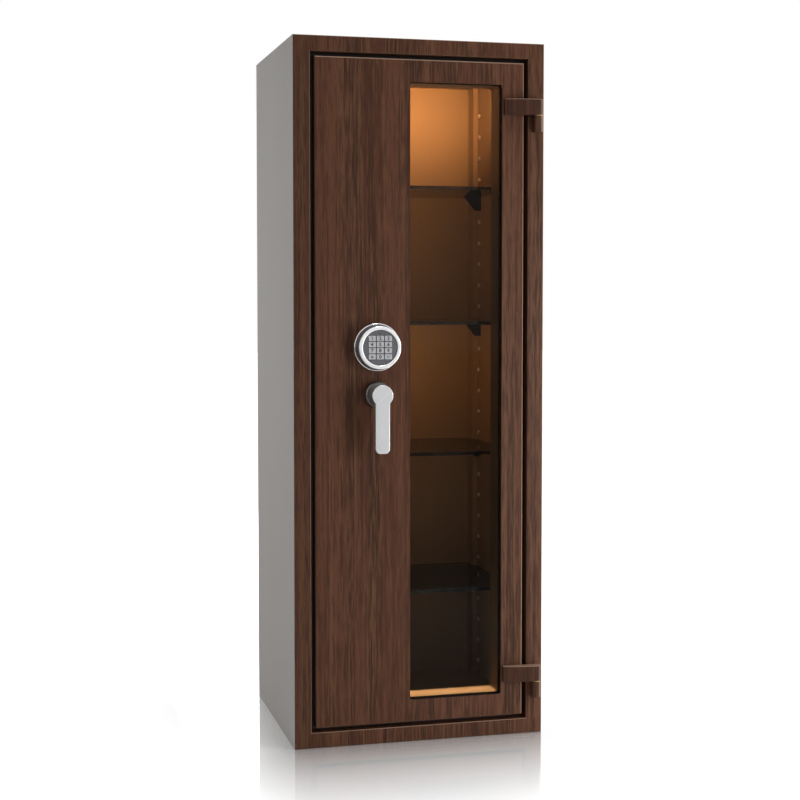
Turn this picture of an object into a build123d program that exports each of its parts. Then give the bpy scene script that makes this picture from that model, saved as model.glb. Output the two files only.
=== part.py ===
"""Cabinet safe with a glazed door, an electronic keypad lock and a lever handle.

Millimetres. Origin at the centre of the footprint, on the floor. +Z up, +X to the right as seen
from the front, the front faces -Y. At rest the door is closed and its bolts are drawn back.
"""
from build123d import *
from math import acos, ceil, cos, pi, radians, sin, tan
import os

# Body of the safe
BODY_WIDTH = 550
BODY_DEPTH = 470
BODY_HEIGHT = 1500
OUTER_SHEET = 3
LINING_SHEET = 1.5
END_WALL = 50
BACK_WALL = 65
ANCHOR_RADIUS = 7
ANCHOR_SPACING_X = 360
ANCHOR_SPACING_Y = 240

# Front frame and the rebate that the door closes on
FRAME_SIDE = 36
FRAME_END = 33
FRAME_SHEET = 2.5
FRAME_BEND = 2
REBATE_SHEET = 6
REBATE_LOCK_SIDE = 24
REBATE_HINGE_SIDE = 14
REBATE_END = 24
SEAL_WIDTH = 4
SEAL_SPACE = 4
SOFT_GAP = 0.3

# Door slab, from the front: skin, board, steel plate
DOOR_GAP = 9.5
DOOR_SLAB = 24
DOOR_SKIN = 2.5
DOOR_BEVEL = 2.5
DOOR_PLATE = 10
PLATE_GAP = 0.5

# Window in the door
WINDOW_LOCK_STILE = 206
WINDOW_HINGE_STILE = 48.5
WINDOW_END_GAP = 1
WINDOW_CORNER = 5
GLASS_THICKNESS = 15
GLASS_OVERLAP = 12
GASKET_SIDE = 3
REVEAL_SHEET = 2
REVEAL_FLANGE = 5

# Casing behind the slab
CASING_LOCK_GAP = 10
CASING_HINGE_GAP = 7
CASING_END_GAP = 10
CASING_DEPTH = 52
CASING_SHEET = 2
CASING_LIP = 12
COVER_SHEET = 2
COVER_GAP = 0.3
DOG_ENGAGEMENT = 7
DOG_DEPTH = 16
DOG_END_INSET = 83
DOG_CLEARANCE = 8
DOG_CHAMFER = 2

# Hinges
HINGE_INSET = 16.5
KNUCKLE_RADIUS = 9.5
KNUCKLE_GAP = 1
KNUCKLE_HEIGHT = 35
ARM_HEIGHT = 34
ARM_REACH = 74
ARM_TIP = 7
ARM_RELIEF = 1.5
ARM_ROUND = 2
PIN_RADIUS = 5
PIN_COVER = 5
WASHER = 1
RUNNING_GAP = 0.05
HINGE_LOWER_LEVEL = 82
HINGE_UPPER_INSET = 190

# Boltwork
LOCK_AXIS_INSET = 134
HANDLE_LEVEL = 750
BOLT_RADIUS = 12
BOLT_CLEARANCE = 2
BOLT_COUNT = 4
BOLT_END_INSET = 200
BOLT_DRAWN_IN = 1
BOLT_TIP_CHAMFER = 1.5
BOLT_FLAT_RISE = 6
BOLT_FLAT_RUNOUT = 8
BOLT_GRIP = 26
BUSH_WALL = 3
BUSH_LENGTH = 14
BUSH_FLANGE = 4
BUSH_FLANGE_THICKNESS = 3
BAR_WIDTH = 40
BAR_THICKNESS = 6
BAR_OVERRUN = 30
BAR_INSET = 56
STUD_RADIUS = 4
STUD_COLLAR = 8
STUD_TAIL = 4
KEEPER_THICKNESS = 2
SLIDE_GAP = 0.2

# Rack and pinion
MODULE = 2
PINION_TEETH = 14
PRESSURE_ANGLE = radians(20)
TOOTH_ADDENDUM = 1.6
TOOTH_DEDENDUM = 2.1
TOOTH_ROOT_SINK = 1.5
BACKLASH = 0.15
GEAR_WIDTH = 10
HANDLE_TURN = radians(90)
RACK_BODY = 24
RACK_SPARE_TEETH = 3
RAMP_RUN = 28
RAMP_SLOPE = 0.5

# Electronic lock
LOCK_CASE_WIDTH = 58
LOCK_CASE_HEIGHT = 86
LOCK_CASE_WALL = 2
LOCK_CASE_GAP = 4
LOCK_CASE_ROUND = 5
LOCK_CASE_OFFSET = 5
LOCK_BOLT_WIDTH = 14
LOCK_BOLT_DEPTH = 8
LOCK_BOLT_LENGTH = 40
LOCK_BOLT_PLAY = 0.15
LOCK_BOLT_INSET = 2
LOCK_BOLT_LEAD = 2

# Handle
LEVER_LENGTH = 122
LEVER_WIDTH = 30.4
LEVER_THICKNESS = 11
LEVER_HUB_RADIUS = 22.25
LEVER_TIP_ROUND = 10.5
LEVER_EDGE_ROUND = 1.2
HANDLE_REACH = 50
NECK_RADIUS = 15
ROSETTE_RADIUS = 27
ROSETTE_HEIGHT = 12
ROSETTE_CHAMFER = 2
SPINDLE_RADIUS = 7
SPINDLE_SQUARE = 9.6
SPINDLE_TAIL = 4
SPINDLE_BUSH_WALL = 3
SPINDLE_FLANGE = 14
SPINDLE_FLANGE_THICKNESS = 3

# Keypad
KEYPAD_RISE = 100
KEYPAD_BASE_RADIUS = 50.5
KEYPAD_BASE_HEIGHT = 3
KEYPAD_BASE_ROUND = 1
KEYPAD_BODY_RADIUS = 49
KEYPAD_RIM_RADIUS = 45.5
KEYPAD_RIM_WALL = 3
KEYPAD_HEIGHT = 24
KEYPAD_FLOOR = 3
BOARD_LEDGE = 4
BEZEL_HEIGHT = 4
BEZEL_WIDTH = 8.5
BEZEL_ROUND = 2.4
FACEPLATE_FLANGE = 1.5
FACEPLATE_RISE = 2
BOARD_THICKNESS = 1.6
BOARD_DEPTH = 5
CABLE_HOLE_RADIUS = 5
CELL_RADIUS = 5.25
CELL_LENGTH = 44.5
CELL_PITCH = 12
KEY_WIDTH = 15.3
KEY_HEIGHT = 10.7
KEY_PITCH_X = 17.5
KEY_PITCH_Z = 12.9
KEY_GAP = 0.3
KEY_PROUD = 1.2
KEY_FLANGE = 0.7
KEY_FLANGE_THICKNESS = 1.2
KEY_STEM = 4
KEY_TRAVEL = 0.8
KEY_ROUND = 0.8
KEY_EDGE_ROUND = 0.4
KEY_NAMES = ("1", "2", "3", "4", "5", "6", "7", "8", "9", "clear", "0", "enter")

# Interior
SHELF_TOPS = (310, 614, 902, 1198)
SHELF_THICKNESS = 8
SHELF_SIDE_GAP = 4
SHELF_FRONT = 90
SHELF_BACK_GAP = 5
SHELF_CORNER = 6
BRACKET_REACH = 38
BRACKET_DROP = 32
BRACKET_FOOT = 14
BRACKET_WEB = 4
BRACKET_SEAT = 14
BRACKET_SHEET = 3
BRACKET_FRONT = 144
BRACKET_BACK = 345
DUCT_WIDTH = 40
DUCT_PROUD = 11
DUCT_SHEET = 1.2
DUCT_CAP = 16
LAMP_LENGTH = 420
LAMP_WIDTH = 20
LAMP_HEIGHT = 9
LAMP_SHEET = 1.5
LAMP_SETBACK = 240
DRIVER_LENGTH = 100
DRIVER_WIDTH = 36
DRIVER_HEIGHT = 22
DRIVER_INSET = 22

# Places that follow from the sizes above
LEFT = -BODY_WIDTH / 2
RIGHT = BODY_WIDTH / 2
DOOR_LEFT = LEFT + FRAME_SIDE + DOOR_GAP
DOOR_RIGHT = RIGHT - FRAME_SIDE - DOOR_GAP
DOOR_BOTTOM = FRAME_END + DOOR_GAP
DOOR_TOP = BODY_HEIGHT - FRAME_END - DOOR_GAP
REBATE_FRONT = DOOR_SLAB + SEAL_SPACE
REBATE_BACK = REBATE_FRONT + REBATE_SHEET
LINING_BACK = BODY_DEPTH - BACK_WALL
PLATE_FRONT = DOOR_SLAB - DOOR_PLATE
GASKET_LIP = (DOOR_SLAB - DOOR_SKIN - GLASS_THICKNESS) / 2
GLASS_FRONT = DOOR_SKIN + GASKET_LIP
CASING_BACK = DOOR_SLAB + CASING_DEPTH
DOOR_BACK = CASING_BACK + COVER_SHEET
HINGE_X = RIGHT - HINGE_INSET
HINGE_STANDOFF = KNUCKLE_RADIUS + KNUCKLE_GAP
HINGE_Y = -BODY_DEPTH / 2 - HINGE_STANDOFF
HINGE_LEVELS = (HINGE_LOWER_LEVEL, BODY_HEIGHT - HINGE_UPPER_INSET)
KEYPAD_LEVEL = HANDLE_LEVEL + KEYPAD_RISE
LOCK_X = DOOR_LEFT + LOCK_AXIS_INSET
PITCH_RADIUS = MODULE * PINION_TEETH / 2
TOOTH_PITCH = pi * MODULE
BOLT_THROW = PITCH_RADIUS * HANDLE_TURN
PITCH_LINE = HANDLE_LEVEL - PITCH_RADIUS
RACK_TEETH = ceil(BOLT_THROW / TOOTH_PITCH) + RACK_SPARE_TEETH
LAST_TOOTH = RACK_TEETH - 2
RACK_END = LOCK_X + LAST_TOOTH * TOOTH_PITCH + TOOTH_PITCH / 2
RACK_BOTTOM = PITCH_LINE - TOOTH_DEDENDUM - RACK_BODY
BOLT_DEPTH = REBATE_BACK + BOLT_CLEARANCE + BOLT_RADIUS
BAR_FRONT = BOLT_DEPTH + BOLT_FLAT_RISE
GEAR_FRONT = BAR_FRONT - GEAR_WIDTH
LOCK_BOLT_FRONT = GEAR_FRONT - LOCK_BOLT_LEAD
LOCK_BOLT_BACK = LOCK_BOLT_FRONT + LOCK_BOLT_DEPTH


def behind(depth):
    """Y of a plane that lies this far behind the front of the safe."""
    return depth - BODY_DEPTH / 2


def block(x_range, depth_range, z_range):
    """Box between two depths behind the front."""
    (x0, x1), (d0, d1), (z0, z1) = x_range, depth_range, z_range
    centre = Pos((x0 + x1) / 2, behind((d0 + d1) / 2), (z0 + z1) / 2)
    return centre * Box(x1 - x0, d1 - d0, z1 - z0)


def facing_back(x, depth, z):
    """Drawing plane square to the front, extruded towards the back."""
    return Plane((x, behind(depth), z), x_dir=(1, 0, 0), z_dir=(0, 1, 0))


def facing_front(x, depth, z):
    """Drawing plane square to the front with Z upwards, extruded towards the front."""
    return Plane((x, behind(depth), z), x_dir=(1, 0, 0), z_dir=(0, -1, 0))


def grown(outline, margin):
    """Upright rectangle (left, right, bottom, top) made larger all round."""
    left, right, bottom, top = outline
    return (left - margin, right + margin, bottom - margin, top + margin)


def panel(outline, depth_range, corner=0):
    """Upright panel between two depths, with round corners if asked for."""
    left, right, bottom, top = outline
    if not corner:
        return block((left, right), depth_range, (bottom, top))
    front, back = depth_range
    outline = RectangleRounded(right - left, top - bottom, corner)
    return extrude(facing_back((left + right) / 2, front, (bottom + top) / 2) * outline, back - front)


def ring(outer, inner, depth_range, outer_corner=0, inner_corner=0):
    """Upright frame between two outlines."""
    return panel(outer, depth_range, outer_corner) - panel(inner, depth_range, inner_corner)


def rod(x, z, radius, depth_range):
    """Round bar square to the front."""
    middle = (depth_range[0] + depth_range[1]) / 2
    return Pos(x, behind(middle), z) * Rot(90, 0, 0) * Cylinder(radius, depth_range[1] - depth_range[0])


def upright(x, y, radius, z_range):
    """Round bar along the hinge axis."""
    return Pos(x, y, sum(z_range) / 2) * Cylinder(radius, z_range[1] - z_range[0])


def crossbar(x_range, depth, z, radius):
    """Round bar along X."""
    return Pos(sum(x_range) / 2, behind(depth), z) * Rot(0, 90, 0) * Cylinder(radius, x_range[1] - x_range[0])


def turned(x, z, *profile):
    """Solid of revolution square to the front, from (radius, depth) points."""
    outline = Polyline(*[(radius, behind(depth)) for radius, depth in profile], close=True)
    return Pos(x, 0, z) * revolve(make_face(outline), Axis.Y)


def group(solids):
    """Separate solids kept in one node."""
    return Compound(children=list(solids))


def front_edges(solid):
    """Edges of the face nearest the front."""
    return solid.faces().sort_by(Axis.Y)[0].edges()


BODY_OUTLINE = (LEFT, RIGHT, 0, BODY_HEIGHT)
FRAME_OPENING = (LEFT + FRAME_SIDE, RIGHT - FRAME_SIDE, FRAME_END, BODY_HEIGHT - FRAME_END)
REBATE_OPENING = (FRAME_OPENING[0] + REBATE_LOCK_SIDE, FRAME_OPENING[1] - REBATE_HINGE_SIDE,
                  FRAME_OPENING[2] + REBATE_END, FRAME_OPENING[3] - REBATE_END)
LINING = (FRAME_OPENING[0], FRAME_OPENING[1], END_WALL, BODY_HEIGHT - END_WALL)
DOOR = (DOOR_LEFT, DOOR_RIGHT, DOOR_BOTTOM, DOOR_TOP)
CASING = (REBATE_OPENING[0] + CASING_LOCK_GAP, REBATE_OPENING[1] - CASING_HINGE_GAP,
          REBATE_OPENING[2] + CASING_END_GAP, REBATE_OPENING[3] - CASING_END_GAP)
GLAZING_EDGE = CASING_SHEET + WINDOW_END_GAP + REVEAL_FLANGE + GASKET_SIDE + GLASS_OVERLAP
WINDOW = (DOOR_LEFT + WINDOW_LOCK_STILE, DOOR_RIGHT - WINDOW_HINGE_STILE,
          CASING[2] + GLAZING_EDGE, CASING[3] - GLAZING_EDGE)
GLASS = grown(WINDOW, GLASS_OVERLAP)
GASKET = grown(GLASS, GASKET_SIDE)
BOLT_TIP = CASING[0] + BOLT_DRAWN_IN
BAR_LEFT = CASING[0] + BAR_INSET
BOLT_SPACING = (BODY_HEIGHT - 2 * BOLT_END_INSET) / (BOLT_COUNT - 1)
BOLT_LEVELS = [BOLT_END_INSET + i * BOLT_SPACING for i in range(BOLT_COUNT)]
STUD_LEVELS = (BOLT_LEVELS[0] + BOLT_SPACING / 2, BOLT_LEVELS[-1] - BOLT_SPACING / 2)


def anchor_holes():
    """Drill for the four floor anchors."""
    spots = GridLocations(ANCHOR_SPACING_X, ANCHOR_SPACING_Y, 2, 2)
    return [spot * Cylinder(ANCHOR_RADIUS, 2 * (END_WALL + LINING_SHEET)) for spot in spots]


# The body: five outer sheets, the filling they hold and the lining inside
def side_panels():
    depth = (FRAME_SHEET, BODY_DEPTH - OUTER_SHEET)
    left = block((LEFT, LEFT + OUTER_SHEET), depth, (0, BODY_HEIGHT))
    return group([left, mirror(left, Plane.YZ)])


def end_sheet(z_range):
    inside = (LEFT + OUTER_SHEET, RIGHT - OUTER_SHEET)
    return block(inside, (FRAME_SHEET, BODY_DEPTH - OUTER_SHEET), z_range)


def top_panel():
    return end_sheet((BODY_HEIGHT - OUTER_SHEET, BODY_HEIGHT))


def base_panel():
    return end_sheet((0, OUTER_SHEET)) - anchor_holes()


def back_panel():
    return panel(BODY_OUTLINE, (BODY_DEPTH - OUTER_SHEET, BODY_DEPTH))


def wall_filling():
    depth = (REBATE_BACK, BODY_DEPTH - OUTER_SHEET)
    filling = panel(grown(BODY_OUTLINE, -OUTER_SHEET), depth)
    filling -= panel(grown(LINING, LINING_SHEET), (REBATE_BACK, LINING_BACK + LINING_SHEET))
    return filling - anchor_holes()


def lining_sides():
    left, right, bottom, top = LINING
    sheet = block((left - LINING_SHEET, left), (REBATE_BACK, LINING_BACK), (bottom, top))
    return group([sheet, mirror(sheet, Plane.YZ)])


def lining_ends():
    left, right, bottom, top = grown(LINING, LINING_SHEET)
    depth = (REBATE_BACK, LINING_BACK)
    floor = block((left, right), depth, (bottom, bottom + LINING_SHEET)) - anchor_holes()
    ceiling = block((left, right), depth, (top - LINING_SHEET, top))
    return group([floor, ceiling])


def lining_back():
    return panel(grown(LINING, LINING_SHEET), (LINING_BACK, LINING_BACK + LINING_SHEET))


# The front frame folds back into the jamb that the rebate frame is welded in
def front_frame():
    frame = ring(BODY_OUTLINE, FRAME_OPENING, (0, FRAME_SHEET))
    frame += ring(grown(FRAME_OPENING, FRAME_SHEET), FRAME_OPENING, (0, REBATE_BACK))
    return fillet(front_edges(frame), FRAME_BEND)


def rebate_frame():
    return ring(FRAME_OPENING, REBATE_OPENING, (REBATE_FRONT, REBATE_BACK))


def door_seal():
    inner = grown(REBATE_OPENING, SOFT_GAP)
    return ring(grown(inner, SEAL_WIDTH), inner, (DOOR_SLAB + SOFT_GAP, REBATE_FRONT))


# Glass shelves on gusset brackets
def glass_shelves():
    inside = (LINING[0] + SHELF_SIDE_GAP, LINING[1] - SHELF_SIDE_GAP)
    depth = (SHELF_FRONT, LINING_BACK - SHELF_BACK_GAP)
    notch_left = LINING[1] - DUCT_PROUD - SHELF_SIDE_GAP
    notch_front = LINING_BACK - DUCT_WIDTH - SHELF_SIDE_GAP
    shelves = []
    for top in SHELF_TOPS:
        heights = (top - SHELF_THICKNESS, top)
        shelf = block(inside, depth, heights)
        shelf = fillet(shelf.edges().filter_by(Axis.Z), SHELF_CORNER)
        shelves.append(shelf - block((notch_left, LINING[1]), (notch_front, LINING_BACK), heights))
    return group(shelves)


def shelf_bracket(depth, top):
    """Left-hand bracket: wall plate, gusset and the seat under the glass."""
    wall = LINING[0]
    seat_depth = (depth - BRACKET_SEAT / 2, depth + BRACKET_SEAT / 2)
    bracket = block((wall, wall + BRACKET_REACH), seat_depth, (top - BRACKET_SHEET, top))
    bracket += block((wall, wall + BRACKET_SHEET), seat_depth, (top - BRACKET_DROP, top))
    corners = [(wall, top), (wall + BRACKET_REACH, top), (wall + BRACKET_REACH, top - BRACKET_SHEET),
               (wall + BRACKET_FOOT, top - BRACKET_DROP), (wall, top - BRACKET_DROP)]
    gusset = make_face(facing_front(0, depth - BRACKET_WEB / 2, 0) * Polyline(*corners, close=True))
    return bracket + extrude(gusset, -BRACKET_WEB)


def shelf_brackets():
    brackets = []
    for top in SHELF_TOPS:
        for depth in (BRACKET_FRONT, BRACKET_BACK):
            bracket = shelf_bracket(depth, top - SHELF_THICKNESS)
            brackets += [bracket, mirror(bracket, Plane.YZ)]
    return group(brackets)


def cable_duct():
    wall = LINING[1]
    depth = (LINING_BACK - DUCT_WIDTH, LINING_BACK)
    duct = block((wall - DUCT_PROUD, wall), depth, (LINING[2], LINING[3] - DUCT_CAP))
    hollow_depth = (depth[0] + DUCT_SHEET, depth[1])
    duct -= block((wall - DUCT_PROUD + DUCT_SHEET, wall), hollow_depth, (LINING[2], LINING[3] - DUCT_CAP))
    cap_front = (depth[0] - DUCT_SHEET, depth[1])
    cap = block((wall - DUCT_PROUD - DUCT_SHEET, wall), cap_front, (LINING[3] - DUCT_CAP, LINING[3]))
    return duct + cap


def lamp_channel():
    top = LINING[3]
    outside = ((-LAMP_LENGTH / 2, LAMP_LENGTH / 2), (LAMP_SETBACK, LAMP_SETBACK + LAMP_WIDTH))
    channel = block(*outside, (top - LAMP_HEIGHT, top))
    slot = (LAMP_SETBACK + LAMP_SHEET, LAMP_SETBACK + LAMP_WIDTH - LAMP_SHEET)
    return channel - block(outside[0], slot, (top - LAMP_HEIGHT, top - LAMP_SHEET))


def lamp_diffuser():
    bottom = LINING[3] - LAMP_HEIGHT
    slot = (LAMP_SETBACK + LAMP_SHEET, LAMP_SETBACK + LAMP_WIDTH - LAMP_SHEET)
    strip = block((-LAMP_LENGTH / 2, LAMP_LENGTH / 2), slot, (bottom - LAMP_SHEET, bottom + LAMP_SHEET))
    return fillet(strip.faces().sort_by(Axis.Z)[0].edges().filter_by(Axis.X), LAMP_SHEET)


def lamp_driver():
    left = LINING[0] + DRIVER_INSET
    depth = (LINING_BACK - DRIVER_WIDTH - DRIVER_INSET, LINING_BACK - DRIVER_INSET)
    case = block((left, left + DRIVER_LENGTH), depth, (LINING[3] - DRIVER_HEIGHT, LINING[3]))
    return fillet(case.edges().filter_by(Axis.Z), LAMP_SHEET)


# External hinges: a knuckle on the frame, a pin, and an arm on the door
def frame_knuckles():
    knuckles = []
    for level in HINGE_LEVELS:
        heights = (level, level + KNUCKLE_HEIGHT)
        knuckle = upright(HINGE_X, HINGE_Y, KNUCKLE_RADIUS, heights)
        foot = (-HINGE_STANDOFF, 0)
        knuckle += block((HINGE_X - KNUCKLE_RADIUS, HINGE_X + KNUCKLE_RADIUS), foot, heights)
        bore = (level + PIN_COVER, level + KNUCKLE_HEIGHT)
        knuckles.append(knuckle - upright(HINGE_X, HINGE_Y, PIN_RADIUS, bore))
    return group(knuckles)


def arm_bottom(level):
    return level + KNUCKLE_HEIGHT + WASHER + SLIDE_GAP / 2


def hinge_pins():
    pins = []
    for level in HINGE_LEVELS:
        heights = (level + PIN_COVER, arm_bottom(level) + ARM_HEIGHT - PIN_COVER - SLIDE_GAP)
        pins.append(upright(HINGE_X, HINGE_Y, PIN_RADIUS, heights))
    return group(pins)


def hinge_washers():
    washers = []
    for level in HINGE_LEVELS:
        heights = (level + KNUCKLE_HEIGHT, level + KNUCKLE_HEIGHT + WASHER)
        washer = upright(HINGE_X, HINGE_Y, KNUCKLE_RADIUS - SOFT_GAP, heights)
        washers.append(washer - upright(HINGE_X, HINGE_Y, PIN_RADIUS, heights))
    return group(washers)


def hinge_arm(level):
    """Arm with a curved front that ends in the barrel over the pin."""
    bottom = arm_bottom(level)
    door_edge = DOOR_RIGHT - DOOR_BEVEL - HINGE_X
    relief = HINGE_STANDOFF - ARM_RELIEF
    barrel_front = (0, -KNUCKLE_RADIUS)
    tip = (-ARM_REACH, HINGE_STANDOFF - ARM_TIP)
    tip_back = (-ARM_REACH, HINGE_STANDOFF)
    outline = [
        TangentArc(barrel_front, tip, tangent=(-1, 0)),
        Polyline(tip, tip_back, (door_edge, HINGE_STANDOFF), (door_edge, relief), (0, relief), barrel_front),
    ]
    at_axis = Pos(HINGE_X, HINGE_Y, bottom)
    arm = at_axis * extrude(make_face(outline), ARM_HEIGHT)
    arm += upright(HINGE_X, HINGE_Y, KNUCKLE_RADIUS, (bottom, bottom + ARM_HEIGHT))
    arm = fillet(arm.edges().filter_by(Axis.Z).sort_by(Axis.X)[:1], ARM_ROUND)
    bore = (bottom, bottom + ARM_HEIGHT - PIN_COVER)
    return arm - upright(HINGE_X, HINGE_Y, PIN_RADIUS + RUNNING_GAP, bore)


def hinge_arms():
    return group([hinge_arm(level) for level in HINGE_LEVELS])


# The door slab
def door_skin():
    skin = chamfer(front_edges(panel(DOOR, (0, DOOR_SLAB))), DOOR_BEVEL)
    skin -= panel(grown(DOOR, -DOOR_SKIN), (DOOR_SKIN, DOOR_SLAB))
    skin -= panel(WINDOW, (0, DOOR_SKIN), WINDOW_CORNER)
    skin -= rod(LOCK_X, HANDLE_LEVEL, SPINDLE_RADIUS + SPINDLE_BUSH_WALL, (0, DOOR_SKIN))
    return skin - rod(LOCK_X, KEYPAD_LEVEL, CABLE_HOLE_RADIUS, (0, DOOR_SKIN))


def slab_layer(depth_range):
    """Board or plate inside the skin, with its window, bush and cable holes."""
    layer = panel(grown(DOOR, -DOOR_SKIN - PLATE_GAP), depth_range)
    layer -= panel(grown(GASKET, PLATE_GAP), depth_range, WINDOW_CORNER)
    layer -= rod(LOCK_X, HANDLE_LEVEL, SPINDLE_RADIUS + SPINDLE_BUSH_WALL, depth_range)
    return layer - rod(LOCK_X, KEYPAD_LEVEL, CABLE_HOLE_RADIUS, depth_range)


def drill_board():
    return slab_layer((DOOR_SKIN, PLATE_FRONT))


def door_plate():
    return slab_layer((PLATE_FRONT, DOOR_SLAB))


# The window: laminated pane in a gasket, held from behind by the reveal frame
def window_glass():
    return panel(GLASS, (GLASS_FRONT, GLASS_FRONT + GLASS_THICKNESS), WINDOW_CORNER)


def glass_gasket():
    gasket = ring(GASKET, WINDOW, (DOOR_SKIN, DOOR_SLAB), WINDOW_CORNER, WINDOW_CORNER)
    return gasket - window_glass()


def reveal_frame():
    sleeve = grown(WINDOW, REVEAL_SHEET)
    frame = ring(sleeve, WINDOW, (DOOR_SLAB, DOOR_BACK), WINDOW_CORNER, WINDOW_CORNER)
    flange = (DOOR_SLAB, DOOR_SLAB + REVEAL_SHEET)
    return frame + ring(grown(GASKET, REVEAL_FLANGE), WINDOW, flange, WINDOW_CORNER, WINDOW_CORNER)


# The casing for the boltwork, its cover, and the fixed dog on the hinge side
def door_casing():
    inside = grown(CASING, -CASING_SHEET)
    casing = ring(CASING, inside, (DOOR_SLAB, CASING_BACK))
    casing += ring(inside, grown(inside, -CASING_LIP), (CASING_BACK - CASING_SHEET, CASING_BACK))
    for level in BOLT_LEVELS:
        wall = (CASING[0], CASING[0] + CASING_SHEET)
        casing -= crossbar(wall, BOLT_DEPTH, level, BOLT_RADIUS + BUSH_WALL)
    return casing


def inner_cover():
    cover = panel(CASING, (CASING_BACK, DOOR_BACK))
    return cover - panel(grown(WINDOW, REVEAL_SHEET + COVER_GAP), (CASING_BACK, DOOR_BACK), WINDOW_CORNER)


def dog_bar():
    depth = (REBATE_BACK + DOG_CLEARANCE, REBATE_BACK + DOG_CLEARANCE + DOG_DEPTH)
    heights = (CASING[2] + DOG_END_INSET, CASING[3] - DOG_END_INSET)
    bar = block((CASING[1], REBATE_OPENING[1] + DOG_ENGAGEMENT), depth, heights)
    return chamfer(bar.faces().sort_by(Axis.X)[-1].edges(), DOG_CHAMFER)


# Boltwork, drawn back at rest; it slides to -X when the handle turns
def bolt_bushes():
    length = (CASING[0], CASING[0] + BUSH_LENGTH)
    inner_face = CASING[0] + CASING_SHEET
    flange = (inner_face, inner_face + BUSH_FLANGE_THICKNESS)
    bushes = []
    for level in BOLT_LEVELS:
        bush = crossbar(length, BOLT_DEPTH, level, BOLT_RADIUS + BUSH_WALL)
        bush += crossbar(flange, BOLT_DEPTH, level, BOLT_RADIUS + BUSH_WALL + BUSH_FLANGE)
        bushes.append(bush - crossbar(length, BOLT_DEPTH, level, BOLT_RADIUS + RUNNING_GAP))
    return group(bushes)


def locking_bolts():
    end = BAR_LEFT + BOLT_GRIP
    bolts = []
    for level in BOLT_LEVELS:
        bolt = crossbar((BOLT_TIP, end), BOLT_DEPTH, level, BOLT_RADIUS)
        bolt = chamfer(bolt.edges().sort_by(Axis.X)[:1], BOLT_TIP_CHAMFER)
        heights = (level - BOLT_RADIUS, level + BOLT_RADIUS)
        bolts.append(bolt - block((BAR_LEFT - BOLT_FLAT_RUNOUT, end), (BAR_FRONT, CASING_BACK), heights))
    return group(bolts)


def bolt_bar():
    depth = (BAR_FRONT, BAR_FRONT + BAR_THICKNESS)
    heights = (BOLT_LEVELS[0] - BAR_OVERRUN, BOLT_LEVELS[-1] + BAR_OVERRUN)
    bar = block((BAR_LEFT, BAR_LEFT + BAR_WIDTH), depth, heights)
    for level in STUD_LEVELS:
        slot = SlotCenterToCenter(BOLT_THROW, 2 * (STUD_RADIUS + SLIDE_GAP))
        bar -= extrude(facing_back(stud_place() + BOLT_THROW / 2, depth[0], level) * slot, BAR_THICKNESS)
    return bar


def stud_place():
    """X of the guide studs, which the slots in the bar slide over."""
    return BAR_LEFT + (BAR_WIDTH - BOLT_THROW) / 2


def guide_studs():
    bar_back = BAR_FRONT + BAR_THICKNESS
    studs = []
    for level in STUD_LEVELS:
        stud = rod(stud_place(), level, STUD_COLLAR, (DOOR_SLAB, BAR_FRONT - SLIDE_GAP))
        stud += rod(stud_place(), level, STUD_RADIUS, (DOOR_SLAB, bar_back + KEEPER_THICKNESS + STUD_TAIL))
        keeper_depth = (bar_back + SLIDE_GAP, bar_back + SLIDE_GAP + KEEPER_THICKNESS)
        keeper = rod(stud_place(), level, STUD_COLLAR, keeper_depth)
        keeper -= rod(stud_place(), level, STUD_RADIUS, keeper_depth)
        studs += [stud, keeper]
    return group(studs)


def rack_plate():
    """Rack teeth on the upper edge, and under its end the ramp that works the lock bolt."""
    root = PITCH_LINE - TOOTH_DEDENDUM
    ramp_top = RACK_BOTTOM + RAMP_RUN * RAMP_SLOPE
    outline = [(BAR_LEFT, root), (BAR_LEFT, RACK_BOTTOM), (RACK_END - RAMP_RUN, RACK_BOTTOM),
               (RACK_END, ramp_top), (RACK_END, root)]
    half = (TOOTH_PITCH / 2 - BACKLASH) / 2
    tip_half = half - TOOTH_ADDENDUM * tan(PRESSURE_ANGLE)
    root_half = half + TOOTH_DEDENDUM * tan(PRESSURE_ANGLE)
    for i in range(LAST_TOOTH, -2, -1):
        centre = LOCK_X + i * TOOTH_PITCH
        tip = PITCH_LINE + TOOTH_ADDENDUM
        outline += [(min(centre + root_half, RACK_END), root), (centre + tip_half, tip)]
        outline += [(centre - tip_half, tip), (centre - root_half, root)]
    face = make_face(facing_front(0, GEAR_FRONT, 0) * Polyline(*outline, close=True))
    return extrude(face, -GEAR_WIDTH)


def pinion_tooth():
    """One involute tooth along +X of the sketch."""
    base = PITCH_RADIUS * cos(PRESSURE_ANGLE)
    tip = PITCH_RADIUS + TOOTH_ADDENDUM
    root = PITCH_RADIUS - TOOTH_DEDENDUM
    half_at_pitch = (TOOTH_PITCH / 2 - BACKLASH) / 2 / PITCH_RADIUS

    def flank(radius, side):
        angle = acos(min(1, base / radius))
        half = half_at_pitch + tan(PRESSURE_ANGLE) - PRESSURE_ANGLE - (tan(angle) - angle)
        return (radius * cos(half), side * radius * sin(half))

    inner = (root - TOOTH_ROOT_SINK) / base
    starts = [(x * inner, y * inner) for x, y in (flank(base, -1), flank(base, 1))]
    middle = (base + tip) / 2
    return make_face([
        Line(starts[0], flank(base, -1)),
        ThreePointArc(flank(base, -1), flank(middle, -1), flank(tip, -1)),
        Line(flank(tip, -1), flank(tip, 1)),
        ThreePointArc(flank(tip, 1), flank(middle, 1), flank(base, 1)),
        Line(flank(base, 1), starts[1]),
        Line(starts[1], starts[0]),
    ])


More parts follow.
